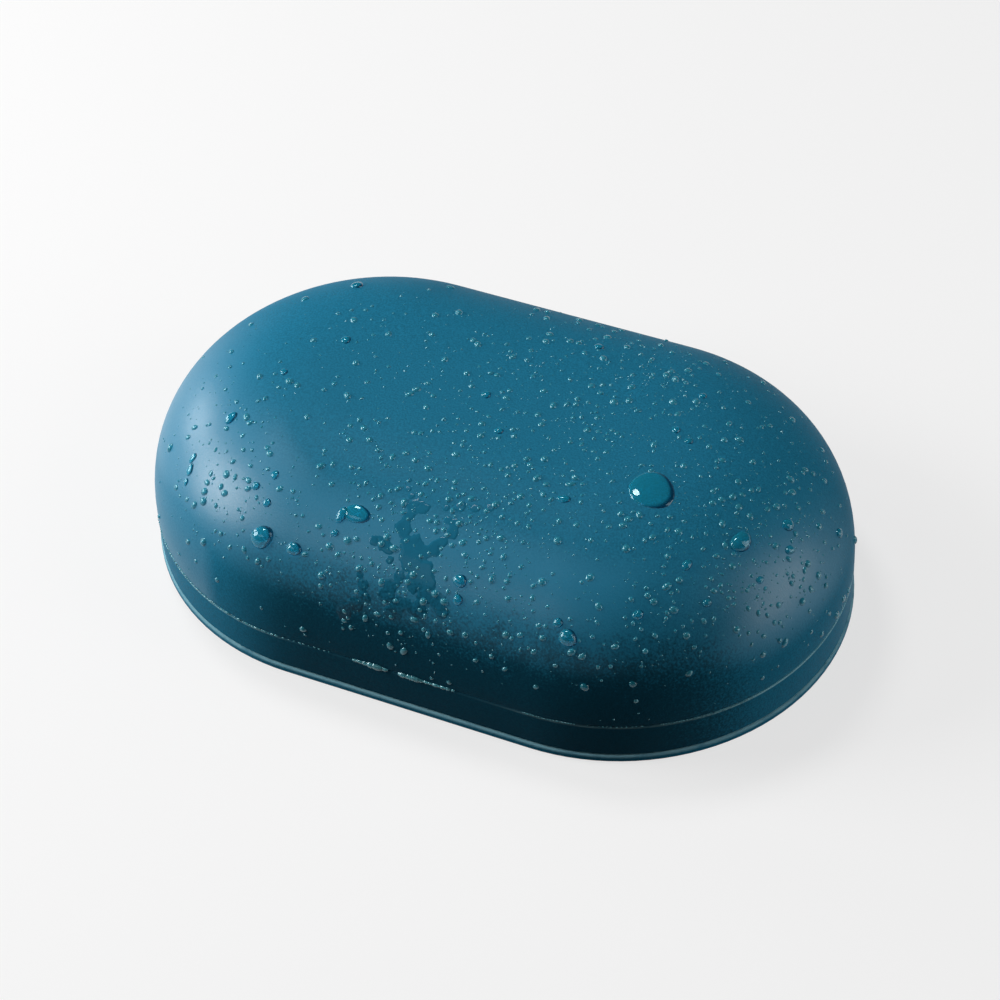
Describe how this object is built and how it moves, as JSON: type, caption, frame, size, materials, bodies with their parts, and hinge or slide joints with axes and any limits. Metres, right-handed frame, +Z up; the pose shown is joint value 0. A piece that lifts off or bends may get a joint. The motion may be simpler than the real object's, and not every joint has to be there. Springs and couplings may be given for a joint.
{
  "type": "travel soap box",
  "caption": "Oval travel soap box: a domed lid lifts off a shallow tray with a collar, a soft seal, a slotted drain rack, a base plate and soft feet.",
  "frame": {"origin": "on the surface that the box stands on, under the middle of the box", "axes": "+X along the length, towards the right-hand end; +Y towards the rear long side; +Z up through the lid"},
  "size_m": [0.1254, 0.0804, 0.035],
  "materials": {
    "lid_plastic": "fine matt teal-blue plastic with a soft sheen",
    "base_plastic": "the same matt teal-blue plastic",
    "rack_plastic": "pale grey plastic with a light satin",
    "seal_silicone": "dark blue-grey silicone, matt",
    "foot_silicone": "dark grey silicone, matt"
  },
  "bodies": {
    "base": {"base_tray": "base_plastic", "base_plate": "base_plastic", "seal_ring": "seal_silicone", "foot_front_left": "foot_silicone", "foot_front_right": "foot_silicone", "foot_rear_left": "foot_silicone", "foot_rear_right": "foot_silicone"},
    "lid": {"lid_shell": "lid_plastic"},
    "rack": {"drain_rack": "rack_plastic"}
  },
  "joints": [
    {"name": "lid_lift", "type": "slide", "parent": "base", "child": "lid", "axis": [0, 0, 1], "range_m": [0, 0.06]},
    {"name": "rack_lift", "type": "slide", "parent": "base", "child": "rack", "axis": [0, 0, 1], "range_m": [0, 0.024]}
  ],
  "couplings": [
    {"joint": "rack_lift", "follows": "lid_lift", "ratio": 0.4}
  ]
}
